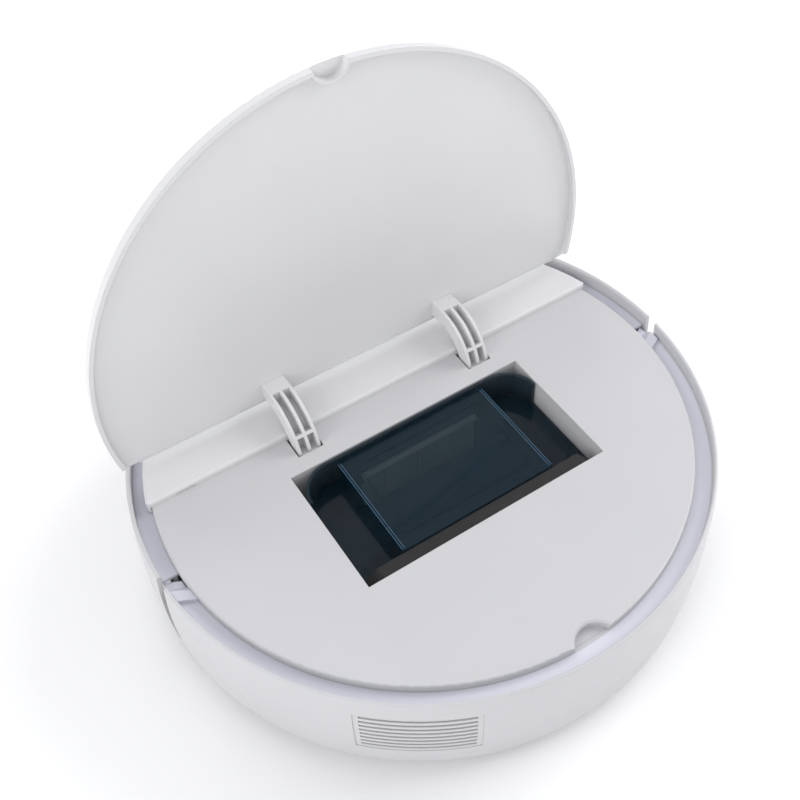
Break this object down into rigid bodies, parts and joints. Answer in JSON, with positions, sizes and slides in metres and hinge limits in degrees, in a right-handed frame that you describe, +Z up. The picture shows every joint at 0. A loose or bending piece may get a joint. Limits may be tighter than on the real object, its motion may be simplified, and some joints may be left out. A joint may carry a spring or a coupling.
{
  "type": "robot floor vacuum",
  "caption": "Round robot floor vacuum with a lift-up rear lid on gooseneck arms, a lift-out dust bin, a sprung bumper, drive wheels, a caster and brushes.",
  "frame": {"origin": "on the floor under the centre of the round body", "axes": "+Z up, +X to the side, +Y to the rear of the machine, where the lid's finger scoop is; -Y is the front bumper"},
  "size_m": [0.3326, 0.3326, 0.276],
  "materials": {
    "white_shell": "satin white moulding",
    "pan_plastic": "matt white moulding",
    "sensor_window": "glossy black",
    "inner_plastic": "matt dark grey",
    "steel": "brushed",
    "smoked_bin": "clear smoked blue-black",
    "smoked_window": "clear smoked blue-black",
    "dark_frame": "matt dark brown-grey",
    "filter_paper": "pleated paper",
    "flap_plastic": "matt light blue-grey",
    "button_plastic": "satin light grey",
    "circuit_board": "solder resist",
    "fan_plastic": "matt light grey",
    "battery_wrap": "shrink wrap",
    "brush_rubber": "matt",
    "grey_plastic": "matt mid grey",
    "tyre": "matt",
    "bristle": "nylon tufts",
    "contact_metal": "nickel plated"
  },
  "bodies": {
    "chassis": {"upper_housing": "white_shell", "deck": "white_shell", "bin_well": "white_shell", "screw_posts": "pan_plastic", "front_panel": "white_shell", "base_pan": "pan_plastic", "pan_bosses": "pan_plastic", "pan_wall": "pan_plastic", "wheel_housing_left": "pan_plastic", "wheel_housing_right": "pan_plastic", "brush_tunnel": "pan_plastic", "caster_mount": "pan_plastic", "hinge_bracket_left": "inner_plastic", "hinge_bracket_right": "inner_plastic", "hinge_pins": "steel", "main_board": "circuit_board", "blower_housing": "inner_plastic", "blower_motor": "steel", "exhaust_duct": "inner_plastic", "battery": "battery_wrap", "battery_cover": "pan_plastic", "brush_guard": "grey_plastic", "brush_gear_case": "inner_plastic", "side_motor_left": "steel", "side_motor_right": "steel", "charge_contacts": "contact_metal", "cliff_sensor_left": "sensor_window", "cliff_sensor_mid": "sensor_window", "cliff_sensor_right": "sensor_window", "base_screws": "steel"},
    "lid": {"lid_cover": "white_shell", "hinge_arm_left": "white_shell", "hinge_arm_right": "white_shell"},
    "bumper": {"bumper_shell": "white_shell", "bumper_ledge": "white_shell", "bumper_window": "sensor_window"},
    "dust_bin": {"bin_body": "smoked_bin", "bin_window": "smoked_window", "bin_frame": "dark_frame", "bin_filter": "filter_paper"},
    "inlet_flap": {"bin_flap": "flap_plastic"},
    "start_button": {"start_button": "button_plastic"},
    "fan": {"impeller": "fan_plastic"},
    "main_brush": {"brush_core": "dark_frame", "brush_blades": "brush_rubber"},
    "left_suspension": {"wheel_arm_left": "inner_plastic"},
    "right_suspension": {"wheel_arm_right": "inner_plastic"},
    "left_wheel": {"wheel_hub_left": "grey_plastic", "tyre_left": "tyre"},
    "right_wheel": {"wheel_hub_right": "grey_plastic", "tyre_right": "tyre"},
    "caster": {"caster_fork": "inner_plastic"},
    "caster_roller": {"caster_wheel": "sensor_window"},
    "left_side_brush": {"side_hub_left": "grey_plastic", "side_bristles_left": "bristle"},
    "right_side_brush": {"side_hub_right": "grey_plastic", "side_bristles_right": "bristle"}
  },
  "joints": [
    {"name": "lid_hinge", "type": "hinge", "parent": "chassis", "child": "lid", "pos_m": [0, -0.054, 0.066], "axis": [1, 0, 0], "range_deg": [-92.3, 0]},
    {"name": "bin_lift", "type": "slide", "parent": "chassis", "child": "dust_bin", "axis": [0, 0, 1], "range_m": [0, 0.062]},
    {"name": "flap_hinge", "type": "hinge", "parent": "dust_bin", "child": "inlet_flap", "pos_m": [0, -0.0085, 0.048], "axis": [1, 0, 0], "range_deg": [0, 60]},
    {"name": "bumper_press", "type": "slide", "parent": "chassis", "child": "bumper", "axis": [0, 1, 0], "range_m": [0, 0.004], "stiffness_N_per_m": 400, "springref_m": -0.003},
    {"name": "button_press", "type": "slide", "parent": "chassis", "child": "start_button", "axis": [0, 0, -1], "range_m": [0, 0.0012], "stiffness_N_per_m": 400, "springref_m": -0.001},
    {"name": "fan_spin", "type": "hinge", "parent": "chassis", "child": "fan", "pos_m": [0.042, 0.0823, 0.042], "axis": [0, 1, 0], "continuous": true},
    {"name": "main_brush_spin", "type": "hinge", "parent": "chassis", "child": "main_brush", "pos_m": [0, -0.0345, 0.017], "axis": [1, 0, 0], "continuous": true},
    {"name": "left_wheel_drop", "type": "hinge", "parent": "chassis", "child": "left_suspension", "pos_m": [-0.0945, 0.044, 0.04], "axis": [1, 0, 0], "range_deg": [0, 32], "stiffness_Nm_per_rad": 0.08, "springref_deg": 42.97},
    {"name": "right_wheel_drop", "type": "hinge", "parent": "chassis", "child": "right_suspension", "pos_m": [0.0945, 0.044, 0.04], "axis": [1, 0, 0], "range_deg": [0, 32], "stiffness_Nm_per_rad": 0.08, "springref_deg": 42.97},
    {"name": "left_wheel_spin", "type": "hinge", "parent": "left_suspension", "child": "left_wheel", "pos_m": [-0.114, 0.008, 0.034], "axis": [1, 0, 0], "continuous": true},
    {"name": "right_wheel_spin", "type": "hinge", "parent": "right_suspension", "child": "right_wheel", "pos_m": [0.114, 0.008, 0.034], "axis": [1, 0, 0], "continuous": true},
    {"name": "caster_swivel", "type": "hinge", "parent": "chassis", "child": "caster", "pos_m": [0, -0.119, 0.03], "axis": [0, 0, 1], "continuous": true},
    {"name": "caster_roll", "type": "hinge", "parent": "caster", "child": "caster_roller", "pos_m": [0, -0.112, 0.011], "axis": [1, 0, 0], "continuous": true},
    {"name": "left_side_brush_spin", "type": "hinge", "parent": "chassis", "child": "left_side_brush", "pos_m": [-0.088, -0.1, 0.008], "axis": [0, 0, 1], "continuous": true},
    {"name": "right_side_brush_spin", "type": "hinge", "parent": "chassis", "child": "right_side_brush", "pos_m": [0.088, -0.1, 0.008], "axis": [0, 0, 1], "continuous": true}
  ]
}
